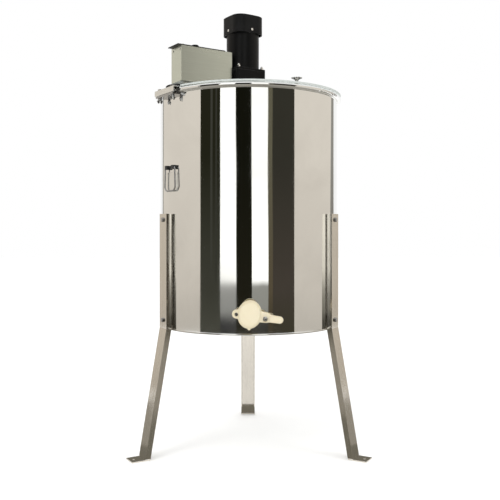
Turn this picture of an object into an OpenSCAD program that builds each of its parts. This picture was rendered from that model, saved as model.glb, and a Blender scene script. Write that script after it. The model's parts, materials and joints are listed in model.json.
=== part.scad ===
// Motor driven honey extractor: a steel drum on three legs, with a gearmotor on a crossbeam
// over the rim, a four frame cage inside and a pivoting gate at the foot of the drum.
// Millimetres, +Z up, origin on the floor under the drum's axis, honey gate towards -Y.

/* [Drum] */
// Outside diameter of the drum
drum_d = 480; // [478:1:482]
// Height of the drum from its lower edge to the top of its rim
drum_h = 613.5; // [608:0.5:618]
// Height of the drum's lower edge above the floor
drum_base = 322.5; // [315:0.5:327]
// Thickness of the drum's sheet
sheet = 1.2; // [1:0.1:1.6]
// Radius of the rolled bead along the rim
bead_r = 6; // [5:0.1:6]

/* [Stand] */
// Width of a leg's channel
leg_w = 42; // [36:1:46]
// Depth of a leg's flanges
leg_flange = 14; // [12:0.5:14]
// Thickness of a leg's sheet
leg_t = 2.5; // [2:0.1:3]
// Height of a leg's top end
leg_top = 620; // [600:5:660]
// Height at which a leg starts to splay
leg_bend = 327; // [315:1:330]
// Angle of the splay
leg_splay = 10; // [6:0.5:12]
// Pitch circle of the three floor bolt holes
foot_pcd = 670; // [660:1:680]
// Diameter of a floor bolt hole
foot_hole = 8; // [6:0.5:9]

/* [Crossbeam] */
// Direction of the crossbeam's outer end, seen from above
beam_angle = 213; // [205:1:220]
// Width of the crossbeam
beam_w = 104; // [100:1:106]
// Distance from the axis to the end of the crossbeam
beam_reach = 259; // [258:1:264]
// Thickness of the crossbeam's sheet
beam_t = 2.5; // [2:0.1:3]

/* [Gearmotor] */
// Side of the square gearbox and of the motor's fan cover
motor_w = 90; // [88:1:91]
// Distance from the drum's axis to the motor's axis
motor_offset = 19.5; // [19:0.1:20]
// Diameter of the round motor body
motor_d = 88; // [84:1:88]
// Height of the top of the fan cover above the floor
motor_top = 1157.5; // [1150:0.5:1165]

/* [Control box] */
// Length of the control box
box_l = 152; // [145:1:155]
// Width of the control box
box_w = 54; // [50:1:56]
// Height of the top of the control box above the floor
box_top = 1050; // [1044:1:1060]
// Distance from the axis to the outer end of the control box
box_end = 223; // [220:1:225]

/* [Lids] */
// Radius of the two half lids
lid_r = 250; // [248:0.5:252]
// Thickness of the clear sheet
lid_t = 5; // [4:0.5:6]
// Distance from the axis to a lid's knob
lid_knob_at = 217; // [205:1:225]

/* [Gate] */
// Height of the gate's bore above the floor
gate_z = 377; // [376:0.5:380]
// Inside radius of the gate's bore
gate_r = 18; // [16:0.5:18]
// Angle by which the gate hangs from level
gate_tilt = 9; // [0:1:15]

/* [Side handles] */
// Direction of the handle near the crossbeam's outer end, the other is opposite
handle_angle = 214.5; // [205:0.5:222]
// Height of the handles' pivots above the floor
handle_z = 738; // [700:1:760]
// Outside width of a bail
bail_w = 58; // [56:1:80]
// Height of a bail
bail_h = 62; // [50:1:70]

/* [Cage] */
// Distance from the axis to a screen
screen_at = 154; // [150:1:154]
// Height of the cage's lower arms above the floor
cage_low = 392; // [390:1:396]
// Height of the cage's upper arms above the floor
cage_high = 868; // [860:1:870]
// Radius of the cage's shaft
shaft_r = 8; // [7:0.5:8]

/* [Hidden] */

$fn = 96;
fine = 160;
drum_r = drum_d / 2;
drum_in = drum_r - sheet;
rim_z = drum_base + drum_h;
bead_at = drum_r + bead_r - sheet;
hem_r = 2.5;

leg_angles = [90, 210, 330];
leg_face = drum_r + 15;
leg_bolt_z = [348, 605];
bolt_r = 3;
spacer_h = 26;
foot_end = foot_pcd / 2 + 12;
foot_t = 3;

cup_z = 368;

beam_z = rim_z + beam_t;
beam_side = beam_w / 2;
beam_skirt = 28;
end_bolt_u = 252.5;
end_bolt_v = 35;
clamp_t = 5;

box_floor = rim_z + 23;
riser_ends = [86, 190];
panel_ends = [92, 233];
panel_t = 2;
knob_u = 168;
switch_u = 122;
box_sheet = 1.2;

gearbox_top = rim_z + 70;
cover_t = 6;
shell_z = gearbox_top + cover_t;
cap_z = motor_top - 51;
motor_r = motor_d / 2;
bolt_square = 37;

pressure_angle = 20;
pinion_teeth = 10;
lay_teeth = 40;
lay_pinion_teeth = 12;
output_teeth = 36;
fast_module = 0.75;
slow_module = 0.9;
fast_centres = fast_module * (pinion_teeth + lay_teeth) / 2;
slow_centres = slow_module * (lay_pinion_teeth + output_teeth) / 2;
lay_u = (pow(slow_centres, 2) - pow(fast_centres, 2) + pow(motor_offset, 2)) / (2 * motor_offset);
lay_v = sqrt(pow(slow_centres, 2) - pow(lay_u, 2));
slow_z = rim_z + 13;
slow_face = 16;
fast_z = rim_z + 39;
fast_face = 12;
play = 0.05;

lid_z = rim_z + 0.3;
lid_edge = beam_side + 6;
hinge_v = beam_side + 2;
hinge_z = rim_z + lid_t + 1.6;
hinge_at = [-150, 150];
hinge_l = 40;

gate_front = drum_r + 28;
gate_plate = 6;
flap_t = 6;
pivot_at = [-31.3, -3.8];
clamp_at = [38, -3.8];

cage_hoop_r = 222;
upright_at = screen_at;
upright_r = 4;
arm_w = 12;
arm_t = 6;
hub_r = 18;
shaft_joint_z = rim_z - 35;

cord_d = 6;
cord_z = beam_z + 13;
coil_u = -122;
coil_in = 27;
coil_out = 39;
coil_h = 18;

steel = "silver";
satin = "lightsteelblue";
black = "#202022";
cream = "#f3ecc8";

// ---- shared helpers ----

// Places children over the crossbeam: x runs to its outer end, y to the front lid
module on_beam() {
    rotate([0, 0, beam_angle]) children();
}

// Places children at the gate: x across, y up and z out of the drum
module on_gate(out = 0) {
    translate([0, -out, gate_z])
        rotate([90, 0, 0])
            rotate([0, 0, -gate_tilt])
                children();
}

module tube(outer, inner, h) {
    difference() {
        cylinder(r = outer, h = h);
        translate([0, 0, -1]) cylinder(r = inner, h = h + 2);
    }
}

module hexagon(across, h) {
    cylinder(r = across / sqrt(3), h = h, $fn = 6);
}

function arc(centre, r, from, to, steps = 16) =
    [for (i = [0:steps]) let (t = from + (to - from) * i / steps) centre + r * [cos(t), sin(t)]];

// Outline around two circles and their outer tangents
module link(a, ra, b, rb) {
    along = b - a;
    turn = atan2(along[1], along[0]);
    lean = acos((ra - rb) / norm(along));
    polygon(concat(
        arc(a, ra, turn + lean, turn + 360 - lean),
        arc(b, rb, turn - lean, turn + lean)
    ));
}

// Square prism with rounded upright edges
module rounded_block(size, r, h) {
    half = size / 2 - r;
    union() {
        translate([-size / 2, -half, 0]) cube([size, 2 * half, h]);
        translate([-half, -size / 2, 0]) cube([2 * half, size, h]);
        for (x = [-half, half], y = [-half, half])
            translate([x, y, 0]) cylinder(r = r, h = h);
    }
}

// ---- gear teeth ----

function involute(a) = tan(a) * 180 / PI - a;
function base_radius(m, teeth) = m * teeth / 2 * cos(pressure_angle);
function half_tooth(r, m, teeth, slack) =
    90 / teeth - slack / (m * teeth) * 180 / PI + involute(pressure_angle)
    - involute(acos(min(1, base_radius(m, teeth) / r)));
function polar(r, a) = [r * cos(a), r * sin(a)];
function flank(m, teeth, tip) =
    let (b = base_radius(m, teeth)) [for (i = [0:3]) b + (tip - b) * i / 3];
function tooth(m, teeth, tip, root, slack, centre) =
    let (rs = flank(m, teeth, tip), foot = half_tooth(rs[0], m, teeth, slack))
    concat(
        [polar(root, centre - foot)],
        [for (r = rs) polar(r, centre - half_tooth(r, m, teeth, slack))],
        [for (i = [3:-1:0]) polar(rs[i], centre + half_tooth(rs[i], m, teeth, slack))],
        [polar(root, centre + foot)]
    );

// Spur gear with its first tooth along x
module spur_gear(m, teeth, addendum, root_gap, h, slack = 0.16) {
    tip = m * (teeth / 2 + addendum);
    root = m * teeth / 2 - root_gap;
    linear_extrude(height = h)
        polygon([
            for (k = [0:teeth - 1])
                each tooth(m, teeth, tip, root, slack, 360 * k / teeth)
        ]);
}

// ---- drum ----

module drum_shell() {
    color(steel) difference() {
        union() {
            rotate_extrude($fn = fine)
                translate([drum_in, drum_base + hem_r]) square([sheet, drum_h - bead_r - hem_r]);
            rotate_extrude($fn = fine)
                translate([drum_r - sheet, drum_base + hem_r]) circle(r = hem_r, $fn = 32);
            rotate_extrude($fn = fine)
                translate([bead_at, rim_z - bead_r]) circle(r = bead_r, $fn = 32);
        }
        for (a = leg_angles, z = leg_bolt_z)
            rotate([0, 0, a]) translate([drum_in - 5, 0, z])
                rotate([0, 90, 0]) cylinder(r = bolt_r, h = 12);
        on_gate() translate([0, 0, drum_in - 8]) cylinder(r = gate_r + 2.5, h = 14);
    }
}

module drum_floor() {
    edge = 356;
    rise = cup_z - edge;
    color(steel) rotate_extrude($fn = fine)
        polygon([
            [0, edge + rise], [60, edge + rise], [225, edge], [drum_in, edge],
            [drum_in, edge - sheet], [225, edge - sheet],
            [60, edge + rise - sheet], [0, edge + rise - sheet]
        ]);
}

// Welded cup that keeps the shaft's foot on the axis
module bearing_cup() {
    color(steel) translate([0, 0, cup_z]) difference() {
        union() {
            cylinder(r = 24, h = 2);
            cylinder(r = 14, h = 14);
        }
        translate([0, 0, 2]) cylinder(r = shaft_r + play, h = 20);
    }
}

// ---- stand ----

// Line down a leg, a distance in from its outer face
function leg_line(inset) = [
    [leg_face - inset, leg_top],
    [leg_face - inset, leg_bend - inset * tan(leg_splay / 2)],
    [leg_face + leg_bend * tan(leg_splay) - inset / cos(leg_splay), 0]
];

// Strip of a leg's channel, seen from the side
module leg_strip(depth, across, from) {
    outer = leg_line(0);
    inner = leg_line(depth);
    translate([0, from + across, 0]) rotate([90, 0, 0]) linear_extrude(height = across)
        polygon([outer[0], outer[1], outer[2], inner[2], inner[1], inner[0]]);
}

module leg(angle) {
    foot_in = leg_line(leg_t)[2][0] - 2;
    color("#b9b3a8") rotate([0, 0, angle]) difference() {
        union() {
            leg_strip(leg_t, leg_w, -leg_w / 2);
            leg_strip(leg_flange, leg_t, -leg_w / 2);
            leg_strip(leg_flange, leg_t, leg_w / 2 - leg_t);
            translate([foot_in, -leg_w / 2, 0]) cube([foot_end - foot_in, leg_w, foot_t]);
        }
        for (z = leg_bolt_z)
            translate([leg_face - 10, 0, z]) rotate([0, 90, 0]) cylinder(r = bolt_r, h = 20);
        translate([foot_pcd / 2, 0, -1]) cylinder(r = foot_hole / 2, h = foot_t + 2);
    }
}

module leg_left() { leg(leg_angles[1]); }
module leg_right() { leg(leg_angles[2]); }
module leg_back() { leg(leg_angles[0]); }

// Runs over the six places where a leg is bolted to the drum, x outwards
module at_leg_bolts() {
    for (a = leg_angles, z = leg_bolt_z)
        rotate([0, 0, a]) translate([0, 0, z]) children();
}

// Short box sections that hold the channels off the drum
module leg_spacers() {
    inner = leg_w - 2 * leg_t - 1;
    reach = leg_face - leg_t;
    color("#9a948a") at_leg_bolts() difference() {
        translate([drum_r - 4, -inner / 2, -spacer_h / 2]) cube([reach - drum_r + 4, inner, spacer_h]);
        translate([0, 0, -spacer_h]) cylinder(r = drum_r, h = 2 * spacer_h, $fn = fine);
        translate([drum_r + 3, -inner / 2 + 2, -spacer_h])
            cube([reach - drum_r - 5, inner - 4, 2 * spacer_h]);
        translate([drum_r - 10, 0, 0]) rotate([0, 90, 0]) cylinder(r = bolt_r, h = 30);
    }
}

// Hex bolts with domed nuts inside the drum
module leg_bolts() {
    color("gainsboro") at_leg_bolts() {
        translate([drum_in - 5, 0, 0]) rotate([0, 90, 0])
            cylinder(r = bolt_r, h = leg_face - drum_in + 5);
        translate([leg_face, 0, 0]) rotate([0, 90, 0]) hexagon(10, 4);
        translate([drum_in - 0.4, 0, 0]) rotate([0, -90, 0]) {
            hexagon(10, 4.6);
            translate([0, 0, 4.6]) intersection() {
                sphere(r = 4.6, $fn = 32);
                cylinder(r = 5, h = 5);
            }
        }
    }
}

// ---- honey gate ----

// Threaded stub welded into the drum
module gate_stub() {
    color(steel) on_gate(drum_in - 2.3) tube(gate_r + 2.5, gate_r, 24.1);
}

// Round plate drawn out to a soft point above and below
module gate_outline(side, tip) {
    polygon([
        for (a = [0:5:355])
            (side + (tip - side) * pow(abs(sin(a)), 3)) * [cos(a), sin(a)]
    ]);
}

module gate_body() {
    wall = gate_r + 9;
    color(cream) difference() {
        union() {
            on_gate(drum_r + 1.5) cylinder(r = wall, h = gate_front - drum_r - 1.5);
            on_gate(gate_front - gate_plate) linear_extrude(height = gate_plate) {
                gate_outline(29.5, 34);
                link([0, 0], 16, pivot_at, 10.5);
                link([0, 0], 16, clamp_at + [2, 1], 11);
            }
            on_gate(gate_front - gate_plate) translate([4, -33.5, 0]) cylinder(r = 3.9, h = gate_plate);
        }
        on_gate(drum_r - 1) cylinder(r = gate_r + 2.5, h = 22.8);
        on_gate(drum_r) cylinder(r = gate_r, h = 60);
        on_gate(gate_front - 2) cylinder(r = gate_r + 4, h = 4);
        on_gate(gate_front - 10) translate(pivot_at) cylinder(r = 3, h = 12);
        on_gate(gate_front - 10) translate(clamp_at) cylinder(r = 3, h = 12);
    }
}

module gate_seal() {
    color("white") on_gate(gate_front - 2) tube(gate_r + 4, gate_r + 1, 2);
}

// Shouldered pivot screw and the clamping stud
module gate_screws() {
    through = gate_plate + flap_t;
    color("gainsboro") on_gate(gate_front - gate_plate) {
        translate(pivot_at) cylinder(r = 3, h = through + 1);
        translate(pivot_at) translate([0, 0, through + 0.6]) cylinder(r = 4.2, h = 2);
        translate(clamp_at) cylinder(r = 3, h = through + 12);
    }
}

module gate_flap() {
    grip_end = [72.5, -1.5];
    color(cream) on_gate(gate_front + 0.3) difference() {
        union() {
            linear_extrude(height = flap_t - 2) {
                gate_outline(27, 31.5);
                link([0, 0], 14, pivot_at, 9.5);
                link([0, 0], 14, clamp_at + [3, 3], 12);
                link(clamp_at + [2, 2], 9.5, grip_end, 8.5);
            }
            linear_extrude(height = flap_t) {
                gate_outline(25, 28);
                translate(pivot_at) circle(r = 6);
                link(clamp_at + [16, 2], 6.5, grip_end, 6.5);
            }
        }
        translate([pivot_at[0], pivot_at[1], -1]) cylinder(r = 3 + play, h = flap_t + 2);
        translate([clamp_at[0], clamp_at[1], -1]) cylinder(r = 4.5, h = flap_t + 2);
        translate([clamp_at[0] - 4.5, clamp_at[1] - 24, -1]) cube([9, 24, flap_t + 2]);
    }
}

module gate_nut() {
    color("gainsboro") on_gate(gate_front + flap_t + 0.6) translate(clamp_at) difference() {
        union() {
            hexagon(9, 6);
            cylinder(r = 5.8, h = 1.2);
        }
        translate([0, 0, -1]) cylinder(r = 3 + play, h = 9);
    }
}

// ---- side handles ----

// Places children at a handle: x outwards, y along the rim, z at the pivots
module at_handle(angle) {
    rotate([0, 0, angle]) translate([0, 0, handle_z]) children();
}

bail_at = drum_r + 5;
bail_r = 2.2;
lug_y = bail_w / 2 - 13;

module handle_pads() {
    color(steel) for (a = [handle_angle, handle_angle + 180])
        at_handle(a) intersection() {
            translate([0, 0, -62]) tube(drum_r + 1.2, drum_r, 50, $fn = fine);
            translate([drum_r - 10, -26, -62]) cube([20, 52, 50]);
        }
}

// Four dark lugs that carry the bails
module handle_lugs() {
    color(black) for (a = [handle_angle, handle_angle + 180], side = [-1, 1])
        at_handle(a) difference() {
            translate([drum_r - 6, side * lug_y - 5, -5]) cube([15, 10, 10]);
            translate([0, 0, -20]) cylinder(r = drum_r, h = 40, $fn = fine);
            translate([bail_at, side * lug_y - 10, 0]) rotate([-90, 0, 0])
                cylinder(r = bail_r + play, h = 20);
        }
}

module bail(angle) {
    half = bail_w / 2 - bail_r;
    drop = bail_h - bail_r;
    color("dimgray") at_handle(angle) translate([bail_at, 0, 0]) {
        for (side = [-1, 1]) {
            translate([0, side * half, 0]) rotate([side * 90, 0, 0]) cylinder(r = bail_r, h = 15);
            translate([0, side * half, 0]) sphere(r = bail_r, $fn = 32);
            translate([0, side * half, -drop]) cylinder(r = bail_r, h = drop);
            translate([0, side * half, -drop]) sphere(r = bail_r, $fn = 32);
        }
        translate([0, -half, -drop]) rotate([-90, 0, 0]) cylinder(r = bail_r, h = 2 * half);
    }
}

module handle_bail_left() { bail(handle_angle); }
module handle_bail_right() { bail(handle_angle + 180); }

// ---- crossbeam ----

module beam_ends() {
    for (turn = [0, 180]) rotate([0, 0, turn]) children();
}

module at_end_bolts() {
    beam_ends() for (side = [-1, 1])
        translate([end_bolt_u, side * end_bolt_v, 0]) children();
}

module crossbeam() {
    skirt_reach = 222;
    lip = 2 * bead_r - 0.5;
    color(satin) on_beam() difference() {
        union() {
            translate([-beam_reach, -beam_side, rim_z]) cube([2 * beam_reach, beam_w, beam_t]);
            for (v = [-beam_side, beam_side - beam_t])
                translate([-skirt_reach, v, rim_z - beam_skirt])
                    cube([2 * skirt_reach, beam_t, beam_skirt + 1]);
            for (u = [-beam_reach, beam_reach - beam_t])
                translate([u, -beam_side, rim_z - lip]) cube([beam_t, beam_w, lip + 1]);
        }
        translate([0, 0, rim_z - 1]) cylinder(r = 14, h = 10);
        at_end_bolts() translate([0, 0, rim_z - 1]) cylinder(r = bolt_r, h = 10);
        for (x = [-bolt_square, bolt_square], y = [-bolt_square, bolt_square])
            translate([motor_offset + x, y, rim_z - 1]) cylinder(r = 2.5, h = 10);
    }
}

// Clamp bars under the bead, outside the drum
module rim_clamps() {
    top = rim_z - 2 * bead_r;
    color("#a9a39a") on_beam() beam_ends() difference() {
        translate([228, -47, top - clamp_t]) cube([end_bolt_u - 222, 94, clamp_t]);
        translate([0, 0, top - 20]) cylinder(r = drum_r, h = 30, $fn = fine);
        for (side = [-1, 1]) translate([end_bolt_u, side * end_bolt_v, top - 20])
            cylinder(r = bolt_r, h = 30);
    }
}

module clamp_bolts() {
    color("gainsboro") on_beam() at_end_bolts() {
        translate([0, 0, rim_z - 29]) cylinder(r = bolt_r, h = 29 + beam_t);
        translate([0, 0, beam_z]) hexagon(10, 4);
    }
}

module wing_nuts() {
    top = rim_z - 2 * bead_r - clamp_t;
    color("gainsboro") on_beam() at_end_bolts() translate([0, 0, top]) mirror([0, 0, 1]) difference() {
        union() {
            cylinder(r = 5.4, h = 6);
            for (side = [-1, 1]) rotate([0, -side * 28, 0])
                translate([side * 2, -1.2, 2]) mirror([side < 0 ? 1 : 0, 0, 0]) cube([8.5, 2.4, 8]);
        }
        translate([0, 0, -1]) cylinder(r = bolt_r, h = 20);
    }
}

// ---- control box ----

// Raised foot between the crossbeam and the box, open at its ends
module box_riser() {
    l = riser_ends[1] - riser_ends[0];
    h = box_floor - beam_z;
    color(satin) on_beam() translate([riser_ends[0], -24, beam_z]) difference() {
        cube([l, 48, h]);
        translate([1.5, 1.5, 1.5]) cube([l - 3, 45, h]);
        translate([l - 5, 24 + 10, cord_z - beam_z]) rotate([0, 90, 0]) cylinder(r = 5, h = 10);
    }
}

module control_box() {
    h = box_top - box_floor;
    color("#c9c9bd") on_beam() translate([box_end - box_l, -box_w / 2, box_floor]) difference() {
        cube([box_l, box_w, h]);
        translate([box_sheet, box_sheet, box_sheet])
            cube([box_l - 2 * box_sheet, box_w - 2 * box_sheet, h - 2 * box_sheet]);
        translate([28, 6, h - 5]) cube([box_l - 40, box_w - 12, 10]);
        translate([100, box_w / 2, -1]) cylinder(r = 6, h = 5);
    }
}

module control_panel() {
    l = panel_ends[1] - panel_ends[0];
    color(black) on_beam() translate([panel_ends[0], -box_w / 2 - 0.5, box_top]) difference() {
        cube([l, box_w + 1, panel_t]);
        translate([knob_u - panel_ends[0], box_w / 2 + 0.5, -1]) cylinder(r = 3.5, h = 5);
        translate([switch_u - panel_ends[0] - 10, box_w / 2 + 0.5 - 7, -1]) cube([20, 14, 5]);
    }
}

module panel_screws() {
    color("gainsboro") on_beam() {
        for (side = [-1, 1], u = [98, 217])
            translate([u, side * 24, box_top + panel_t]) cylinder(r = 2.2, h = 1.2);
        for (side = [-1, 1])
            translate([box_end, side * 18, box_top - 9]) rotate([0, 90, 0]) cylinder(r = 2.6, h = 1.6);
    }
}

module circuit_board() {
    post = 9;
    board_z = box_floor + box_sheet + post;
    parts_z = board_z + 1.6;
    color("darkgreen") on_beam() {
        translate([102, -20, board_z]) cube([100, 40, 1.6]);
        for (u = [106, 198], v = [-16, 16]) translate([u, v, board_z - post]) cylinder(r = 2.5, h = post);
        translate([112, -14, parts_z]) cube([26, 28, 22]);
        for (v = [-9, 9]) translate([160, v, parts_z]) cylinder(r = 6, h = 20);
        translate([176, -14, parts_z]) cube([20, 28, 12]);
    }
}

// Potentiometer under the panel
module speed_control() {
    color("dimgray") on_beam() translate([knob_u, 0, box_top - 16]) difference() {
        union() {
            cylinder(r = 9, h = 10);
            cylinder(r = 5, h = 16);
            cylinder(r = 3.5, h = 16 + panel_t);
        }
        translate([0, 0, 4]) cylinder(r = 2 + play, h = 20);
    }
}

module speed_knob() {
    base = box_top + panel_t + 0.4;
    color(black) on_beam() translate([knob_u, 0, base]) difference() {
        union() {
            rotate_extrude() polygon([[0, 0], [9.5, 0], [9.2, 7.6], [8, 9], [0, 9]]);
            translate([0, 0, -12]) cylinder(r = 2, h = 13);
        }
        translate([3.5, -0.5, 8.2]) cube([4, 1, 3]);
    }
}

module switch_body() {
    color(black) on_beam() translate([switch_u, 0, box_top + panel_t]) difference() {
        union() {
            translate([-10, -7, -18]) cube([20, 14, 18]);
            translate([-12.5, -9, 0]) cube([25, 18, 2]);
        }
        translate([-9, -6, -9]) cube([18, 12, 20]);
        translate([0, 10, -2.2]) rotate([90, 0, 0]) cylinder(r = 1 + play, h = 20);
    }
}

// Rocker on a cross pin, lying with its outer end down
module switch_rocker() {
    color("#2c2c2e") on_beam() translate([switch_u, 0, box_top + panel_t - 2.2]) rotate([0, 7, 0]) {
        translate([0, 5.4, 0]) rotate([90, 0, 0]) linear_extrude(height = 10.8)
            polygon([[-7.6, 6.2], [0, 4.6], [7.6, 6.2], [7.6, 1], [4, -4.5], [-4, -4.5], [-7.6, 1]]);
        translate([0, 6.8, 0]) rotate([90, 0, 0]) cylinder(r = 1, h = 13.6);
    }
}

// ---- power cord ----

// Gland in the riser's end with a tapered relief
module cord_gland() {
    color(black) on_beam() translate([riser_ends[1], 10, cord_z]) rotate([0, 90, 0]) difference() {
        union() {
            translate([0, 0, -6]) cylinder(r = 5, h = 7);
            cylinder(r = 6.5, h = 3);
            translate([0, 0, 3]) cylinder(r1 = 5.4, r2 = 3.9, h = 17);
        }
        translate([0, 0, -7]) cylinder(r = cord_d / 2, h = 40);
    }
}

function turn_point(centre, r, a, z) = [centre[0] + r * cos(a), centre[1] + r * sin(a), z];
turn_at = [210, -17.8];
turn_r = 27.8;

// Places along the cord, with heights above the crossbeam
cord_route = concat(
    [[190, 10, 13], [196, 10, 13], [203, 10, 13]],
    [for (a = [90:-15:-90]) turn_point(turn_at, turn_r, a, 13 - (90 - a) * 0.02)],
    [
        [196, -45.6, 8.1], [180, -45.6, 6.7], [162, -45.6, 5.6], [144, -45.6, 4.9],
        [126, -45.8, 4.5], [108, -46.6, 3.6], [90, -47.8, 3.1], [66, -48.7, 3.1],
        [36, -48.9, 3.1], [6, -48.9, 3.1], [-24, -48.5, 3.1], [-50, -46.2, 3.1],
        [-76, -42, 3.1], [-100, -37.6, 3.1], [-122, -36, 3.1]
    ]
);
tail_route = [
    [-122, -30, 15.1], [-134, -30, 15.3], [-146, -28.5, 15.1], [-158, -25.5, 14.3],
    [-170, -21.5, 13.1], [-182, -17.5, 12.1], [-192, -15.2, 11.7], [-200, -14.4, 11.7]
];

function unit(v) = v / norm(v);
function heading(p, i) = unit(p[min(i + 1, len(p) - 1)] - p[max(i - 1, 0)]);
function ring(p, i, r, sides) =
    let (t = heading(p, i), side = unit(cross(t, [0, 0, 1])), up = cross(side, t))
    [for (k = [0:sides - 1]) p[i] + r * (cos(360 * k / sides) * side + sin(360 * k / sides) * up)];

// Tube swept along a route, closed at both ends
module swept(route, r, sides) {
    n = len(route);
    points = [for (i = [0:n - 1]) each ring(route, i, r, sides)];
    walls = [
        for (i = [0:n - 2], k = [0:sides - 1])
            let (a = i * sides + k, b = i * sides + (k + 1) % sides)
            [a, b, b + sides, a + sides]
    ];
    ends = [[for (k = [sides - 1:-1:0]) k], [for (k = [0:sides - 1]) (n - 1) * sides + k]];
    polyhedron(points, concat(walls, ends), convexity = 6);
}

module power_cord() {
    color(black) on_beam() {
        translate([0, 0, beam_z]) {
            swept(cord_route, cord_d / 2, 10);
            swept(tail_route, cord_d / 2, 10);
        }
    }
}

// Spare cord wound flat behind the motor
module cord_coil() {
    color(black) on_beam() translate([coil_u, 0, beam_z + 0.1]) tube(coil_out, coil_in, coil_h);
}

module power_plug() {
    color(black) on_beam() translate([-200, -14.4, beam_z + 11.7]) {
        rotate([0, -90, 0]) translate([0, 0, -12]) difference() {
            cylinder(r1 = 4, r2 = 6.5, h = 14);
            translate([0, 0, -1]) cylinder(r = cord_d / 2, h = 13);
        }
        translate([-26, -12, -10]) cube([24, 24, 20]);
    }
    color("gold") on_beam() translate([-226, -14.4, beam_z + 11.7]) {
        for (v = [-6.4, 6.4]) translate([-17, v - 0.8, 0]) cube([18, 1.6, 6.4]);
        translate([-19, 0, -5]) rotate([0, 90, 0]) cylinder(r = 2.4, h = 20);
    }
}

// ---- gearmotor ----

module on_motor(z = 0) {
    on_beam() translate([motor_offset, 0, z]) children();
}

module at_box_bolts(z) {
    on_motor(z) for (x = [-bolt_square, bolt_square], y = [-bolt_square, bolt_square])
        translate([x, y, 0]) children();
}

module gearbox_housing() {
    wall = 4;
    floor_t = 6;
    h = gearbox_top - beam_z;
    color(black) difference() {
        union() {
            difference() {
                on_motor(beam_z) rounded_block(motor_w, 5, h);
                on_motor(beam_z + floor_t) rounded_block(motor_w - 2 * wall, 3, h);
            }
            at_box_bolts(beam_z + floor_t - 0.5) cylinder(r = 5.4, h = h - floor_t + 0.5);
        }
        at_box_bolts(beam_z - 1) cylinder(r = 2.5, h = h + 2);
        on_beam() translate([0, 0, beam_z - 1]) cylinder(r = 13, h = 20);
        on_beam() translate([lay_u, lay_v, beam_z + 2]) cylinder(r = 4 + play, h = 20);
    }
}

module gearbox_cover() {
    color(black) difference() {
        on_motor(gearbox_top) rounded_block(motor_w, 5, cover_t);
        on_motor(gearbox_top - 1) cylinder(r = 9, h = cover_t + 2);
        on_beam() translate([lay_u, lay_v, gearbox_top - 1]) cylinder(r = 4 + play, h = cover_t - 1);
        on_beam() translate([0, 0, gearbox_top - 1]) cylinder(r = 8, h = cover_t - 1);
        at_box_bolts(gearbox_top - 1) cylinder(r = 2.5, h = cover_t + 2);
    }
}

// Long bolts through the gearbox into the crossbeam, with their nuts on top
module gearbox_bolts() {
    low = rim_z - 5;
    color("gainsboro") at_box_bolts(low) {
        cylinder(r = 2.5, h = shell_z + 9 - low);
        translate([0, 0, 1]) hexagon(8, 4);
        translate([0, 0, shell_z - low]) cylinder(r = 5, h = 1);
        translate([0, 0, shell_z + 1 - low]) hexagon(8, 4.5);
    }
}

module motor_shell() {
    inner = motor_r - 3.5;
    h = cap_z - shell_z;
    color(black) on_motor(shell_z) difference() {
        cylinder(r = motor_r, h = h);
        translate([0, 0, -1]) cylinder(r = inner, h = h - 4);
        translate([0, 0, h - 10]) cylinder(r = 9, h = 20);
    }
}

// Rounded square fan cover with a shallow crown
module fan_cover() {
    skin = 2.5;
    h = motor_top - cap_z;
    color(black) on_motor(cap_z) difference() {
        union() {
            rounded_block(motor_w, 26, h - 4);
            translate([0, 0, h - 4]) intersection() {
                rounded_block(motor_w - 3, 24.5, 4);
                rotate_extrude() polygon([[0, 0], [60, 0], [60, 0.3], [42, 1.4], [22, 3.3], [0, 4]]);
            }
        }
        translate([0, 0, -1]) rounded_block(motor_w - 2 * skin, 23.5, h - 5);
    }
}

module cover_screws() {
    color("gainsboro") on_motor(cap_z + 9)
        for (turn = [0:90:270]) rotate([0, 0, turn])
            translate([motor_w / 2, 0, 0]) rotate([0, 90, 0]) cylinder(r = 3.2, h = 1.6);
}

module stator() {
    outer = motor_r - 3.5;
    color("darkorange") on_motor() {
        translate([0, 0, cap_z - 70]) tube(outer, 24.6, 50);
        for (z = [cap_z - 78, cap_z - 20]) translate([0, 0, z]) tube(34, 27, 8);
    }
}

module rotor() {
    gap = atan2(-lay_v, motor_offset - lay_u) + 180 + 180 / pinion_teeth;
    color("slategray") on_motor() {
        translate([0, 0, fast_z - 1]) rotate([0, 0, gap])
            spur_gear(fast_module, pinion_teeth, 0.8, 0.9, fast_face + 2);
        translate([0, 0, fast_z + fast_face]) cylinder(r = 4, h = cap_z + 30 - fast_z - fast_face);
        translate([0, 0, cap_z - 68]) cylinder(r = 24, h = 46);
    }
}

module cooling_fan() {
    color("dimgray") on_motor(cap_z + 6.5) {
        tube(9, 4, 16);
        difference() {
            cylinder(r = 34, h = 2);
            translate([0, 0, -1]) cylinder(r = 8.5, h = 4);
        }
        for (turn = [0:45:315]) rotate([0, 0, turn])
            translate([8.6, -0.8, 1]) cube([25, 1.6, 15]);
    }
}

module lay_gear() {
    mesh = atan2(-lay_v, motor_offset - lay_u);
    gap = atan2(lay_v, lay_u) + 180 + 180 / lay_pinion_teeth;
    color("goldenrod") on_beam() translate([lay_u, lay_v, 0]) {
        translate([0, 0, fast_z]) rotate([0, 0, mesh])
            spur_gear(fast_module, lay_teeth, 0.6, 1.1, fast_face);
        translate([0, 0, slow_z - 1]) rotate([0, 0, gap])
            spur_gear(slow_module, lay_pinion_teeth, 0.8, 1.1, slow_face + 4);
        translate([0, 0, beam_z + 2.2]) cylinder(r = 4, h = gearbox_top + cover_t - 2.4 - beam_z - 2.2);
    }
}

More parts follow.
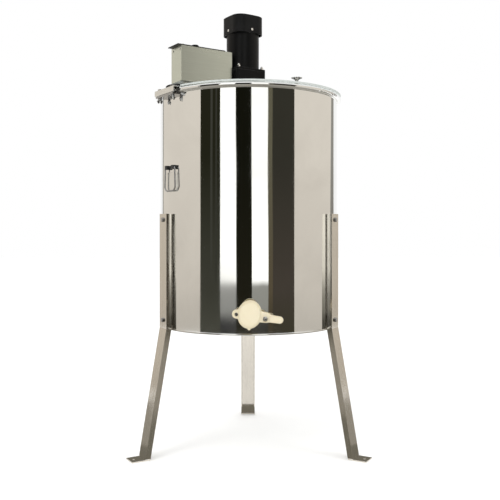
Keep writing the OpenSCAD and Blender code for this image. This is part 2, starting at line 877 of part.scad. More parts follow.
// Output gear with its stepped shaft
module output_gear() {
    mesh = atan2(lay_v, lay_u);
    color("goldenrod") on_beam() {
        translate([0, 0, slow_z]) rotate([0, 0, mesh])
            spur_gear(slow_module, output_teeth, 0.7, 1.2, slow_face);
        translate([0, 0, shaft_joint_z]) cylinder(r = shaft_r, h = slow_z + slow_face - shaft_joint_z);
        translate([0, 0, slow_z]) cylinder(r = 5, h = gearbox_top + cover_t - 2.4 - slow_z);
    }
}

module drive_bearings() {
    color("gainsboro") on_beam() {
        translate([0, 0, beam_z]) tube(13, shaft_r + play, 6);
        translate([0, 0, gearbox_top]) tube(8, 5 + play, cover_t - 2);
    }
    color("gainsboro") on_motor() {
        translate([0, 0, gearbox_top]) tube(9, 4 + play, cover_t);
        translate([0, 0, cap_z - 5]) tube(9, 4 + play, 5);
    }
}

// ---- cage ----

module quarters(start = 0) {
    for (turn = [0:90:270]) rotate([0, 0, start + turn]) children();
}

module shaft_coupling() {
    color(steel) difference() {
        translate([0, 0, shaft_joint_z - 14]) tube(14, shaft_r, 28);
        for (z = [shaft_joint_z - 7, shaft_joint_z + 7])
            translate([0, 0, z]) rotate([0, 90, 0]) cylinder(r = 2, h = 20);
    }
    color(steel) for (z = [shaft_joint_z - 7, shaft_joint_z + 7])
        translate([shaft_r, 0, z]) rotate([0, 90, 0]) cylinder(r = 2, h = 5);
}

module cage_shaft() {
    foot = cup_z + 2.3;
    color(steel) translate([0, 0, foot]) cylinder(r = shaft_r, h = shaft_joint_z - foot);
}

// Lower and upper hubs, each with four arms to the hoops
module cage_arms() {
    color(steel) for (z = [cage_low, cage_high]) translate([0, 0, z]) difference() {
        union() {
            cylinder(r = hub_r, h = arm_t + 8);
            intersection() {
                quarters(45) translate([0, -arm_w / 2, 0]) cube([cage_hoop_r + 5, arm_w, arm_t]);
                cylinder(r = cage_hoop_r, h = arm_t, $fn = fine);
            }
        }
        translate([0, 0, -1]) cylinder(r = shaft_r, h = arm_t + 12);
    }
}

module cage_hoops() {
    color(steel) for (z = [cage_low - 4, cage_high - 8])
        translate([0, 0, z]) tube(cage_hoop_r + 3, cage_hoop_r, 20, $fn = fine);
}

// Corner rods, floor rests and inner guides of the four frame pockets
module cage_rods() {
    low = cage_low + arm_t;
    color(steel) {
        quarters() translate([upright_at, upright_at, low]) cylinder(r = upright_r, h = cage_high - low);
        quarters() translate([134, -133, low]) cube([12, 266, 3]);
        quarters() for (z = [low, cage_high - 6]) translate([109, -108, z]) cube([3, 216, 6]);
    }
}

// Perforated screens that the combs lean on
module cage_screens() {
    low = cage_low + arm_t + 6;
    high = cage_high - 4;
    half = upright_at - upright_r - 0.1;
    columns = 6;
    rows = 10;
    pitch_y = (2 * half - 12) / columns;
    pitch_z = (high - low - 12) / rows;
    color("gainsboro") quarters() translate([upright_at - 0.75, 0, 0]) difference() {
        translate([0, -half, low]) cube([1.5, 2 * half, high - low]);
        for (i = [0:columns - 1], j = [0:rows - 1])
            translate([-1, -half + 6 + i * pitch_y + 3, low + 6 + j * pitch_z + 3])
                cube([4, pitch_y - 6, pitch_z - 6]);
    }
}

// ---- lids ----

// Half lid on the front side of the crossbeam
module half_lid() {
    difference() {
        translate([0, 0, lid_z]) cylinder(r = lid_r, h = lid_t, $fn = fine);
        translate([-300, -300, lid_z - 1]) cube([600, 300 + lid_edge, lid_t + 2]);
        translate([0, lid_knob_at, lid_z - 1]) cylinder(r = 2.5, h = lid_t + 2);
    }
}

// The hinge half that moves with the lid
module moving_leaf() {
    for (u = hinge_at) {
        translate([u - hinge_l / 2, hinge_v + 3.5, lid_z + lid_t]) cube([hinge_l, 14, 1.2]);
        translate([u - 9.7, hinge_v, hinge_z]) rotate([0, 90, 0]) difference() {
            union() {
                cylinder(r = 3, h = 19.4);
                translate([-0.3, 0, 0]) cube([1.2, 4, 19.4]);
            }
            translate([0, 0, -1]) cylinder(r = 1.5 + play, h = 22);
        }
    }
}

// Turned knob with a flared top and the screw that holds it
module lid_knob() {
    translate([0, lid_knob_at, lid_z + lid_t]) {
        rotate_extrude() polygon([
            [0, 0], [7, 0], [7, 1.5], [4.2, 3.5], [3.6, 8], [5.5, 11.5], [10, 14],
            [13.8, 15.2], [14, 16.2], [10, 17.4], [0, 18]
        ]);
        translate([0, 0, -lid_t]) cylinder(r = 2.5, h = lid_t + 1);
    }
    translate([0, lid_knob_at, lid_z - 2.2]) cylinder(r = 4.4, h = 2.2);
}

module lid_front() { color("#dfe8e4") on_beam() half_lid(); }
module lid_back() { color("#dfe8e4") on_beam() rotate([0, 0, 180]) half_lid(); }
module lid_knob_front() { color(steel) on_beam() lid_knob(); }
module lid_knob_back() { color(steel) on_beam() rotate([0, 0, 180]) lid_knob(); }
module lid_leaf_front() { color(steel) on_beam() moving_leaf(); }
module lid_leaf_back() { color(steel) on_beam() rotate([0, 0, 180]) moving_leaf(); }

// Fixed leaves with their pins, two on each side of the crossbeam
module lid_hinges() {
    color(steel) on_beam() beam_ends() for (u = hinge_at) {
        translate([u - hinge_l / 2, beam_side - 9, beam_z]) cube([hinge_l, 9, 1.2]);
        for (start = [-hinge_l / 2, 10]) translate([u + start, hinge_v, hinge_z]) rotate([0, 90, 0]) {
            cylinder(r = 3, h = hinge_l / 2 - 10);
            translate([0, -4.8, 0]) cube([hinge_z - beam_z, 3.4, hinge_l / 2 - 10]);
        }
        translate([u - hinge_l / 2, hinge_v, hinge_z]) rotate([0, 90, 0]) cylinder(r = 1.5, h = hinge_l);
    }
}

drum_shell();
drum_floor();
bearing_cup();
leg_left();
leg_right();
leg_back();
leg_spacers();
leg_bolts();
gate_stub();
gate_body();
gate_seal();
gate_screws();
gate_flap();
gate_nut();
handle_pads();
handle_lugs();
handle_bail_left();
handle_bail_right();
crossbeam();
rim_clamps();
clamp_bolts();
wing_nuts();
box_riser();
control_box();
control_panel();
panel_screws();
circuit_board();
speed_control();
speed_knob();
switch_body();
switch_rocker();
cord_gland();
power_cord();
cord_coil();
power_plug();
gearbox_housing();
gearbox_cover();
gearbox_bolts();
motor_shell();
fan_cover();
cover_screws();
stator();
rotor();
cooling_fan();
lay_gear();
output_gear();
drive_bearings();
shaft_coupling();
cage_shaft();
cage_arms();
cage_hoops();
cage_rods();
cage_screens();
lid_front();
lid_back();
lid_knob_front();
lid_knob_back();
lid_leaf_front();
lid_leaf_back();
lid_hinges();
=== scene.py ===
import json
import math
import bmesh
import bpy
from mathutils import Matrix, Vector


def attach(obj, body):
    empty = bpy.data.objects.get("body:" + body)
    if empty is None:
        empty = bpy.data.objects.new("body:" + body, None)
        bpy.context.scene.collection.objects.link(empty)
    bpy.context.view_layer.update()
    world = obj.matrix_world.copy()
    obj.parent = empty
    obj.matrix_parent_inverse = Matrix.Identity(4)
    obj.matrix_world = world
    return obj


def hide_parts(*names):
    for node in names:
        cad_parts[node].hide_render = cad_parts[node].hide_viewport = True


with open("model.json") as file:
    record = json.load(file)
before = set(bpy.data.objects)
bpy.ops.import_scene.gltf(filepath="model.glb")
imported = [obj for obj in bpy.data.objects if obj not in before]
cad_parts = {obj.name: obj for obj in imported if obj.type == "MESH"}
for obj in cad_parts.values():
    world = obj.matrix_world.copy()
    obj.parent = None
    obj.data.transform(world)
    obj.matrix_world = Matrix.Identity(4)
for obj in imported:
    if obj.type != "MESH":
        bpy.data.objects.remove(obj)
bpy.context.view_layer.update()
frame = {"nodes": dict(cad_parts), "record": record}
nodes = frame["nodes"]
scene = bpy.context.scene
mm = 0.001
beamDegrees = 213  # the crossbeam's direction seen from above
beamTurn = Matrix.Rotation(math.radians(beamDegrees), 4, "Z")


def overBeam(u, v, z):
    # a place given along the crossbeam, across it and above the floor, in millimetres
    return beamTurn @ Vector((u * mm, v * mm, z * mm))


def linked(name, data):
    thing = bpy.data.objects.new(name, data)
    scene.collection.objects.link(thing)
    return thing


# The camera stands level with the middle of the drum and looks straight at the gate
cameraStand = {"place": (-0.0161, -2.0142, 0.569), "pan": -0.008, "lens": 52.94, "shift": (0.0025, -0.03255)}


def makeCamera(stand):
    data = bpy.data.cameras.new("studioCamera")
    data.lens = stand["lens"]
    data.shift_x, data.shift_y = stand["shift"]
    camera = linked("studioCamera", data)
    camera.location = stand["place"]
    camera.rotation_euler = (math.radians(90), 0, stand["pan"])
    scene.camera = camera


makeCamera(cameraStand)
print("camera ready")


# Small tools for shader trees

def feed(tree, node, inputs):
    # an output of another node is linked, and any other value is set on the input itself
    for name, value in inputs.items():
        if isinstance(value, bpy.types.NodeSocket):
            tree.links.new(value, node.inputs[name])
        else:
            node.inputs[name].default_value = value
    return node


def addNode(tree, kind, inputs=None, **settings):
    node = tree.nodes.new(kind)
    for name, value in settings.items():
        setattr(node, name, value)
    return feed(tree, node, inputs or {})


def objectPlace(tree):
    return addNode(tree, "ShaderNodeTexCoord").outputs["Object"]


def noise(tree, vector, scale, **more):
    return addNode(tree, "ShaderNodeTexNoise", {"Vector": vector, "Scale": scale, **more}).outputs["Fac"]


def mathOf(tree, kind, first, second):
    return addNode(tree, "ShaderNodeMath", {0: first, 1: second}, operation=kind).outputs[0]


def newGroup(name, inputs, outputs):
    tree = bpy.data.node_groups.new(name, "ShaderNodeTree")
    for label, kind, value in inputs:
        socket = tree.interface.new_socket(label, in_out="INPUT", socket_type=kind)
        if value is not None:
            socket.default_value = value
    for label, kind in outputs:
        tree.interface.new_socket(label, in_out="OUTPUT", socket_type=kind)
    return tree, tree.nodes.new("NodeGroupInput"), tree.nodes.new("NodeGroupOutput")


def spread(tree, value, low, high, toLow=0, toHigh=1):
    spans = {"Value": value, "From Min": low, "From Max": high, "To Min": toLow, "To Max": toHigh}
    return addNode(tree, "ShaderNodeMapRange", spans).outputs["Result"]


def colourMix(tree, factor, first, second):
    return addNode(tree, "ShaderNodeMix", {0: factor, 6: first, 7: second}, data_type="RGBA").outputs[2]


def opaque(colour):
    return (*colour, 1)


# Shared effects

usualNoise = (0.3, 0.7)  # where most of a noise's values lie
dustScale = 700.0
# the edge mask marks rubbed edges and also lays a painted highlight along edges
edgeRubAndHighlight = {"samples": 4, "turn": (0.985, 0.8), "patchScale": 160, "patches": (0.35, 0.65, 0.2, 1)}


def makeGrainGroup():
    # fine lines along one direction and slow patches, for brushed and satin sheet
    tree, start, end = newGroup(
        "sheetGrain",
        [
            ("Vector", "NodeSocketVector", None),
            ("Lines", "NodeSocketFloat", 1),
            ("Patches", "NodeSocketFloat", 9),
        ],
        [("Lines", "NodeSocketFloat"), ("Patches", "NodeSocketFloat")],
    )
    given = start.outputs
    lines = noise(tree, given["Vector"], given["Lines"], Detail=4, Roughness=0.7)
    patches = noise(tree, objectPlace(tree), given["Patches"], Detail=3)
    feed(tree, end, {"Lines": lines, "Patches": patches})
    return tree


def makeWearAndHighlightGroup(rubAndHighlight):
    # where an edge is rubbed and where an edge gets a painted highlight, and a normal that rounds the edge
    tree, start, end = newGroup(
        "edgeWearAndHighlight",
        [("Radius", "NodeSocketFloat", 0.0008), ("Amount", "NodeSocketFloat", 1)],
        [("Mask", "NodeSocketFloat"), ("Normal", "NodeSocketVector")],
    )
    rounded = addNode(tree, "ShaderNodeBevel", {"Radius": start.outputs["Radius"]}, samples=rubAndHighlight["samples"])
    surface = addNode(tree, "ShaderNodeNewGeometry")
    normals = {0: rounded.outputs["Normal"], 1: surface.outputs["Normal"]}
    facing = addNode(tree, "ShaderNodeVectorMath", normals, operation="DOT_PRODUCT")
    turned = spread(tree, facing.outputs["Value"], *rubAndHighlight["turn"])
    patchy = spread(tree, noise(tree, objectPlace(tree), rubAndHighlight["patchScale"]), *rubAndHighlight["patches"])
    wornAndHighlit = mathOf(tree, "MULTIPLY", turned, patchy)
    feed(tree, end, {
        "Mask": mathOf(tree, "MULTIPLY", wornAndHighlit, start.outputs["Amount"]),
        "Normal": rounded.outputs["Normal"],
    })
    return tree


def makeSmudgeGroup():
    # faint wiping marks and settled dust
    tree, start, end = newGroup(
        "wipedFilm",
        [("Vector", "NodeSocketVector", None), ("Scale", "NodeSocketFloat", 6)],
        [("Mask", "NodeSocketFloat"), ("Specks", "NodeSocketFloat")],
    )
    given = start.outputs
    film = noise(tree, given["Vector"], given["Scale"], Detail=5, Distortion=0.8)
    specks = noise(tree, given["Vector"], dustScale)
    feed(tree, end, {"Mask": spread(tree, film, 0.4, 0.75), "Specks": spread(tree, specks, 0.55, 0.75)})
    return tree


sheetGrain = makeGrainGroup()
edgeWearAndHighlight = makeWearAndHighlightGroup(edgeRubAndHighlight)
wipedFilm = makeSmudgeGroup()


def startMaterial(name):
    material = bpy.data.materials.new(name)
    material.use_nodes = True
    tree = material.node_tree
    return material, tree, tree.nodes["Principled BSDF"]


def placeGroup(tree, group, inputs):
    return addNode(tree, "ShaderNodeGroup", inputs, node_tree=group).outputs


def filmMask(tree, scale):
    return placeGroup(tree, wipedFilm, {"Vector": objectPlace(tree), "Scale": scale})["Mask"]


def stretched(tree, stretch, turn=0):
    turned = {"Vector": objectPlace(tree), "Rotation": (0, 0, turn)}
    mapping = addNode(tree, "ShaderNodeMapping", turned, vector_type="TEXTURE")
    sides = {0: mapping.outputs[0], 1: stretch}
    return addNode(tree, "ShaderNodeVectorMath", sides, operation="MULTIPLY").outputs[0]


def bump(tree, height, distance, strength, normal=None):
    node = addNode(tree, "ShaderNodeBump", {"Height": height, "Distance": distance, "Strength": strength})
    if normal is not None:
        tree.links.new(normal, node.inputs["Normal"])
    return node.outputs["Normal"]


# Mirror sheet of the drum: nearly flat, with slow waves from rolling
mirrorLook = {"tint": (0.86, 0.86, 0.845), "dull": (0.78, 0.775, 0.76), "roughness": (0.025, 0.09), "film": 5,
              "stretch": (5, 5, 2.2), "waves": 0.35, "waveHeight": 0.004}


def mirrorSteel(look):
    material, tree, shader = startMaterial("mirrorSteel")
    film = filmMask(tree, look["film"])
    waves = noise(tree, stretched(tree, look["stretch"]), 1.0, Detail=1)
    feed(tree, shader, {
        "Metallic": 1,
        "Base Color": colourMix(tree, film, opaque(look["tint"]), opaque(look["dull"])),
        "Roughness": spread(tree, film, 0, 1, *look["roughness"]),
        "Normal": bump(tree, waves, look["waveHeight"], look["waves"]),
    })
    return material


# Brushed and satin sheet, each with its own direction of grain
brushedLooks = {
    "legSteel": {"tint": (0.64, 0.60, 0.54), "bright": (0.76, 0.72, 0.65), "roughness": (0.1, 0.2),
                 "stretch": (420, 420, 6), "turn": 0, "wearAndHighlight": 0.5},
    "beamSteel": {"tint": (0.74, 0.74, 0.72), "bright": (0.84, 0.84, 0.82), "roughness": (0.16, 0.3),
                  "stretch": (6, 420, 420), "turn": beamDegrees, "wearAndHighlight": 0.3},
    "boxSteel": {"tint": (0.62, 0.66, 0.59), "bright": (0.67, 0.71, 0.64), "roughness": (0.27, 0.31),
                 "stretch": (6, 420, 420), "turn": beamDegrees, "wearAndHighlight": 0.4},
    "cageSteel": {"tint": (0.66, 0.66, 0.65), "bright": (0.78, 0.78, 0.77), "roughness": (0.2, 0.36),
                  "stretch": (60, 60, 60), "turn": 0, "wearAndHighlight": 0.3},
    "darkSteel": {"tint": (0.30, 0.30, 0.31), "bright": (0.48, 0.48, 0.48), "roughness": (0.12, 0.24),
                  "stretch": (90, 90, 90), "turn": 0, "wearAndHighlight": 0.6},
    "brightSteel": {"tint": (0.76, 0.75, 0.73), "bright": (0.88, 0.88, 0.86), "roughness": (0.08, 0.22),
                    "stretch": (120, 120, 120), "turn": 0, "wearAndHighlight": 0.2},
}


sheetSkin = {"patches": 14, "edge": 0.0009, "rubbed": 1.15, "grainHeight": 0.0001, "grainDepth": 0.25}


def brushedSteel(name, look):
    material, tree, shader = startMaterial(name)
    along = stretched(tree, look["stretch"], math.radians(look["turn"]))
    grain = placeGroup(tree, sheetGrain, {"Vector": along, "Lines": 1, "Patches": sheetSkin["patches"]})
    wearAndHighlight = placeGroup(tree, edgeWearAndHighlight, {"Radius": sheetSkin["edge"], "Amount": look["wearAndHighlight"]})
    tone = spread(tree, grain["Lines"], *usualNoise)
    shade = colourMix(tree, tone, opaque(look["tint"]), opaque(look["bright"]))
    edge = [min(1, part * sheetSkin["rubbed"]) for part in look["bright"]]
    feed(tree, shader, {
        "Metallic": 1,
        "Base Color": colourMix(tree, wearAndHighlight["Mask"], shade, opaque(edge)),
        "Roughness": spread(tree, grain["Patches"], *usualNoise, *look["roughness"]),
        "Normal": bump(
            tree, grain["Lines"], sheetSkin["grainHeight"], sheetSkin["grainDepth"], wearAndHighlight["Normal"]
        ),
    })
    return material


# Moulded plastics and rubber
mouldedLooks = {
    # the gate's whiter edge colour is a painted highlight along its edges
    "gateNylon": {"tint": (0.72, 0.65, 0.475), "shade": (0.69, 0.61, 0.43), "rubAndHighlight": (0.96, 0.92, 0.76),
                  "roughness": (0.3, 0.45), "pebble": 260, "depth": 0.12, "wearAndHighlight": 0.7, "glow": 0.08, "shine": 0.5},
    "sealSilicone": {"tint": (0.78, 0.78, 0.74), "shade": (0.70, 0.70, 0.66), "rubAndHighlight": (0.85, 0.85, 0.82),
                     "roughness": (0.45, 0.6), "pebble": 300, "depth": 0.05, "wearAndHighlight": 0.2, "glow": 0, "shine": 0.5},
    "blackPlastic": {"tint": (0.006, 0.006, 0.006), "shade": (0.009, 0.009, 0.009), "rubAndHighlight": (0.03, 0.03, 0.03),
                     "roughness": (0.36, 0.5), "pebble": 1500, "depth": 0.25, "wearAndHighlight": 0.4, "glow": 0, "shine": 0.12},
    "lugPlastic": {"tint": (0.02, 0.02, 0.02), "shade": (0.035, 0.034, 0.032), "rubAndHighlight": (0.09, 0.09, 0.085),
                   "roughness": (0.35, 0.5), "pebble": 900, "depth": 0.2, "wearAndHighlight": 0.5, "glow": 0, "shine": 0.25},
    "cordSheath": {"tint": (0.012, 0.012, 0.012), "shade": (0.02, 0.02, 0.02), "rubAndHighlight": (0.03, 0.03, 0.03),
                   "roughness": (0.42, 0.58), "pebble": 1200, "depth": 0.15, "wearAndHighlight": 0, "glow": 0, "shine": 0.3},
    "boardGreen": {"tint": (0.02, 0.13, 0.055), "shade": (0.03, 0.18, 0.08), "rubAndHighlight": (0.1, 0.3, 0.16),
                   "roughness": (0.3, 0.5), "pebble": 700, "depth": 0.1, "wearAndHighlight": 0.3, "glow": 0, "shine": 0.5},
}


mouldedSkin = {"film": 22, "edge": 0.001, "pebbleHeight": 0.0004, "glowReach": (0.004, 0.003, 0.0015)}


def mouldedPlastic(name, look):
    material, tree, shader = startMaterial(name)
    film = filmMask(tree, mouldedSkin["film"])
    wearAndHighlight = placeGroup(tree, edgeWearAndHighlight, {"Radius": mouldedSkin["edge"], "Amount": look["wearAndHighlight"]})
    pebbles = noise(tree, objectPlace(tree), look["pebble"])
    shade = colourMix(tree, film, opaque(look["tint"]), opaque(look["shade"]))
    feed(tree, shader, {
        # edges take the look's pale edge colour: rubbed edges, and on the gate a painted highlight
        "Base Color": colourMix(tree, wearAndHighlight["Mask"], shade, opaque(look["rubAndHighlight"])),
        "Roughness": spread(tree, film, 0, 1, *look["roughness"]),
        "Specular IOR Level": look["shine"],
        "Normal": bump(tree, pebbles, mouldedSkin["pebbleHeight"], look["depth"], wearAndHighlight["Normal"]),
    })
    if look["glow"]:
        feed(tree, shader, {
            "Subsurface Weight": look["glow"],
            "Subsurface Radius": mouldedSkin["glowReach"],
            "Subsurface Scale": 1,
        })
    return material


# Black enamel on the gearmotor, with a light orange peel and rubbed corners
enamelLook = {"tint": (0.004, 0.004, 0.004), "dust": (0.008, 0.008, 0.008), "bare": (0.16, 0.16, 0.16),
              "roughness": (0.3, 0.44), "peel": 420, "peelHeight": 0.0005, "depth": 0.22, "film": 16,
              "edge": 0.0012, "wearAndHighlight": 0.45, "shine": 0.12}


def blackEnamel(look):
    material, tree, shader = startMaterial("blackEnamel")
    film = placeGroup(tree, wipedFilm, {"Vector": objectPlace(tree), "Scale": look["film"]})
    wearAndHighlight = placeGroup(tree, edgeWearAndHighlight, {"Radius": look["edge"], "Amount": look["wearAndHighlight"]})
    peel = noise(tree, objectPlace(tree), look["peel"])
    shade = colourMix(tree, film["Specks"], opaque(look["tint"]), opaque(look["dust"]))
    feed(tree, shader, {
        "Base Color": colourMix(tree, wearAndHighlight["Mask"], shade, opaque(look["bare"])),
        "Roughness": spread(tree, film["Mask"], 0, 1, *look["roughness"]),
        "Specular IOR Level": look["shine"],
        "Normal": bump(tree, peel, look["peelHeight"], look["depth"], wearAndHighlight["Normal"]),
    })
    return material


# Turned and wound parts inside the gearmotor
machinedLooks = {
    "gearMetal": {"tint": (0.46, 0.36, 0.18), "bright": (0.66, 0.54, 0.3), "roughness": (0.25, 0.4)},
    "windingCopper": {"tint": (0.42, 0.18, 0.08), "bright": (0.62, 0.3, 0.14), "roughness": (0.3, 0.5)},
    "rotorIron": {"tint": (0.2, 0.2, 0.21), "bright": (0.34, 0.34, 0.35), "roughness": (0.35, 0.5)},
}


machinedSkin = {"stretch": (30, 30, 900), "patches": 20, "edge": 0.0006, "wearAndHighlight": 0.5,
                "rubAndHighlight": (0.8, 0.76, 0.66), "grooveHeight": 0.0001, "grooveDepth": 0.2}


def machinedMetal(name, look):
    material, tree, shader = startMaterial(name)
    across = stretched(tree, machinedSkin["stretch"])
    grooves = placeGroup(tree, sheetGrain, {"Vector": across, "Lines": 1, "Patches": machinedSkin["patches"]})
    wearAndHighlight = placeGroup(tree, edgeWearAndHighlight, {"Radius": machinedSkin["edge"], "Amount": machinedSkin["wearAndHighlight"]})
    tone = spread(tree, grooves["Lines"], *usualNoise)
    shade = colourMix(tree, tone, opaque(look["tint"]), opaque(look["bright"]))
    feed(tree, shader, {
        "Metallic": 1,
        "Base Color": colourMix(tree, wearAndHighlight["Mask"], shade, opaque(machinedSkin["rubAndHighlight"])),
        "Roughness": spread(tree, grooves["Patches"], *usualNoise, *look["roughness"]),
        "Normal": bump(tree, tone, machinedSkin["grooveHeight"], machinedSkin["grooveDepth"], wearAndHighlight["Normal"]),
    })
    return material


# Clear sheet of the lids
lidLook = {"tint": (0.93, 0.97, 0.95), "scuffs": (0.01, 0.07), "film": 9, "bending": 1.49}


def clearSheet(look):
    material, tree, shader = startMaterial("clearSheet")
    feed(tree, shader, {
        "Base Color": opaque(look["tint"]),
        "Transmission Weight": 1,
        "IOR": look["bending"],
        "Roughness": spread(tree, filmMask(tree, look["film"]), 0, 1, *look["scuffs"]),
    })
    return material


# Sawn edge of the clear sheet, pale and matt with fine saw lines
sawnLook = {"tint": (0.42, 0.45, 0.43), "bright": (0.56, 0.59, 0.57), "roughness": (0.4, 0.6),
            "stretch": (500, 500, 20), "patches": 30, "lineHeight": 0.0001, "depth": 0.3}


def sawnEdge(look):
    material, tree, shader = startMaterial("sawnEdge")
    upright = stretched(tree, look["stretch"])
    cuts = placeGroup(tree, sheetGrain, {"Vector": upright, "Lines": 1, "Patches": look["patches"]})
    tone = spread(tree, cuts["Lines"], *usualNoise)
    feed(tree, shader, {
        "Base Color": colourMix(tree, tone, opaque(look["tint"]), opaque(look["bright"])),
        "Roughness": spread(tree, cuts["Patches"], *usualNoise, *look["roughness"]),
        "Normal": bump(tree, tone, look["lineHeight"], look["depth"]),
    })
    return material


# Mains plug: black moulding with plated blades beyond its face
plugLook = {"tint": (0.014, 0.014, 0.015), "blade": (0.72, 0.62, 0.42), "roughness": (0.3, 0.48), "film": 30,
            "faceAt": -0.2261, "edge": 0.0008, "wearAndHighlight": 0.3, "shine": 0.25}


def plugMoulding(look):
    material, tree, shader = startMaterial("plugMoulding")
    film = filmMask(tree, look["film"])
    turn = math.radians(beamDegrees)
    beamWay = {0: objectPlace(tree), 1: (math.cos(turn), math.sin(turn), 0)}
    along = addNode(tree, "ShaderNodeVectorMath", beamWay, operation="DOT_PRODUCT").outputs["Value"]
    blade = mathOf(tree, "LESS_THAN", along, look["faceAt"])
    wearAndHighlight = placeGroup(tree, edgeWearAndHighlight, {"Radius": look["edge"], "Amount": look["wearAndHighlight"]})
    feed(tree, shader, {
        "Base Color": colourMix(tree, blade, opaque(look["tint"]), opaque(look["blade"])),
        "Metallic": blade,
        "Roughness": spread(tree, film, 0, 1, *look["roughness"]),
        "Specular IOR Level": look["shine"],
        "Normal": wearAndHighlight["Normal"],
    })
    return material


finishes = {
    "plugMoulding": plugMoulding(plugLook),
    "sawnEdge": sawnEdge(sawnLook),
    "mirrorSteel": mirrorSteel(mirrorLook),
    "blackEnamel": blackEnamel(enamelLook),
    "clearSheet": clearSheet(lidLook),
}
for name, look in brushedLooks.items():
    finishes[name] = brushedSteel(name, look)
for name, look in mouldedLooks.items():
    finishes[name] = mouldedPlastic(name, look)
for name, look in machinedLooks.items():
    finishes[name] = machinedMetal(name, look)
print("finishes ready")

# What each slot of the record is finished with
slotFinish = {
    "drum_steel": "mirrorSteel", "leg_steel": "legSteel", "beam_steel": "beamSteel", "box_steel": "boxSteel",
    "bright_steel": "brightSteel", "dark_steel": "darkSteel", "cage_steel": "cageSteel",
    "gate_plastic": "gateNylon", "seal_rubber": "sealSilicone", "black_paint": "blackEnamel",
    "black_plastic": "blackPlastic", "lug_black": "lugPlastic", "cord_rubber": "cordSheath",
    "plug_plastic": "plugMoulding", "board_green": "boardGreen", "motor_copper": "windingCopper",
    "gear_metal": "gearMetal", "rotor_metal": "rotorIron", "lid_clear": "clearSheet",
}


# Pieces finished darker than the others of their slot, as painted shade: the rim clamps and wing nuts take the dark
# steel
shadedNodeFinish = {"rim_clamps": "darkSteel", "wing_nuts": "darkSteel"}


def finishCadParts():
    for part in frame["record"]["subparts"]:
        node = nodes[part["node"]]
        finish = finishes[shadedNodeFinish.get(part["node"], slotFinish[part["material_slot"]])]
        for holder in node.material_slots:
            holder.material = finish


finishCadParts()
print("finishes placed on the frame's parts")


# Half lids of clear sheet with slightly rounded, sawn edges
halfLid = {"radius": 250, "edge": 58, "underside": 936.3, "thickness": 5, "round": 0.8, "steps": 96,
           "roundSteps": 3,
           "screwAt": 217, "screwHole": 2.5, "screwSides": 24}


def lidOutline(look, inset, height, turn):
    radius = look["radius"] - inset
    first = math.asin((look["edge"] + inset) / radius)
    points = []
    for step in range(look["steps"] + 1):
        angle = first + (math.pi - 2 * first) * step / look["steps"]
        points.append(turn @ overBeam(radius * math.cos(angle), radius * math.sin(angle), height))
    return points


def lidHole(look, height, turn):
    points = []
    for side in range(look["screwSides"]):
        angle = math.tau * side / look["screwSides"]
        u, v = look["screwHole"] * math.cos(angle), look["screwAt"] + look["screwHole"] * math.sin(angle)
        points.append(turn @ overBeam(u, v, height))
    return points


def makeLid(name, look, turn, body, node):
    build = bmesh.new()
    low, high, soft = look["underside"], look["underside"] + look["thickness"], look["round"]
    profile = []
    for step in range(look["roundSteps"] + 1):
        angle = math.pi / 2 * step / look["roundSteps"]
        profile.append((soft * (1 - math.sin(angle)), low + soft * (1 - math.cos(angle))))
    profile += [(inset, low + high - height) for inset, height in reversed(profile)]
    edgeFinish = 1  # place of the sawn edge among the lid's finishes, the flat faces keep the first

    def addLoop(points):
        verts = [build.verts.new(point) for point in points]
        edges = [build.edges.new((verts[i], verts[(i + 1) % len(verts)])) for i in range(len(verts))]
        return verts, edges

    def wall(first, second):
        for i in range(len(first)):
            j = (i + 1) % len(first)
            face = build.faces.new((first[i], first[j], second[j], second[i]))
            face.material_index = edgeFinish
            face.smooth = True

    loops = [addLoop(lidOutline(look, inset, height, turn)) for inset, height in profile]
    holes = [addLoop(lidHole(look, height, turn)) for height in (low, high)]
    for lower, upper in zip(loops, loops[1:]):
        wall(lower[0], upper[0])
    wall(holes[1][0], holes[0][0])
    for rim, hole in ((loops[0], holes[0]), (loops[-1], holes[1])):
        bmesh.ops.triangle_fill(build, use_beauty=True, edges=rim[1] + hole[1])
    bmesh.ops.recalc_face_normals(build, faces=build.faces)
    mesh = bpy.data.meshes.new(name)
    build.to_mesh(mesh)
    build.free()
    for finish in ("clearSheet", "sawnEdge"):
        mesh.materials.append(finishes[finish])
    lid = linked(name, mesh)
    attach(lid, body)
    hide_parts(node)


makeLid("lidSheetFront", halfLid, Matrix.Identity(4), "front_lid", "lid_front")
makeLid("lidSheetBack", halfLid, Matrix.Rotation(math.pi, 4, "Z"), "back_lid", "lid_back")
print("lids ready")


# Bails bent from round wire
bailWire = {"angle": 214.5, "at": 245, "height": 738, "radius": 2, "bend": 6, "bendSteps": 6,
            "half": [(12, 0), (24.2, 0), (26.8, -51), (19.5, -59.6)]}


def bentPath(corners, bend, steps):
    # the corners of a path, each cut back by an arc of the bend's size
    longest = 0.45  # the most of a straight length that a bend may take
    path = [corners[0]]
    for before, corner, after in zip(corners, corners[1:], corners[2:]):
        reach = min(bend, (corner - before).length * longest, (after - corner).length * longest)
        start = corner + (before - corner).normalized() * reach
        end = corner + (after - corner).normalized() * reach
        for step in range(steps + 1):
            part = step / steps
            path.append(start.lerp(corner, part).lerp(corner.lerp(end, part), part))
    path.append(corners[-1])
    return path


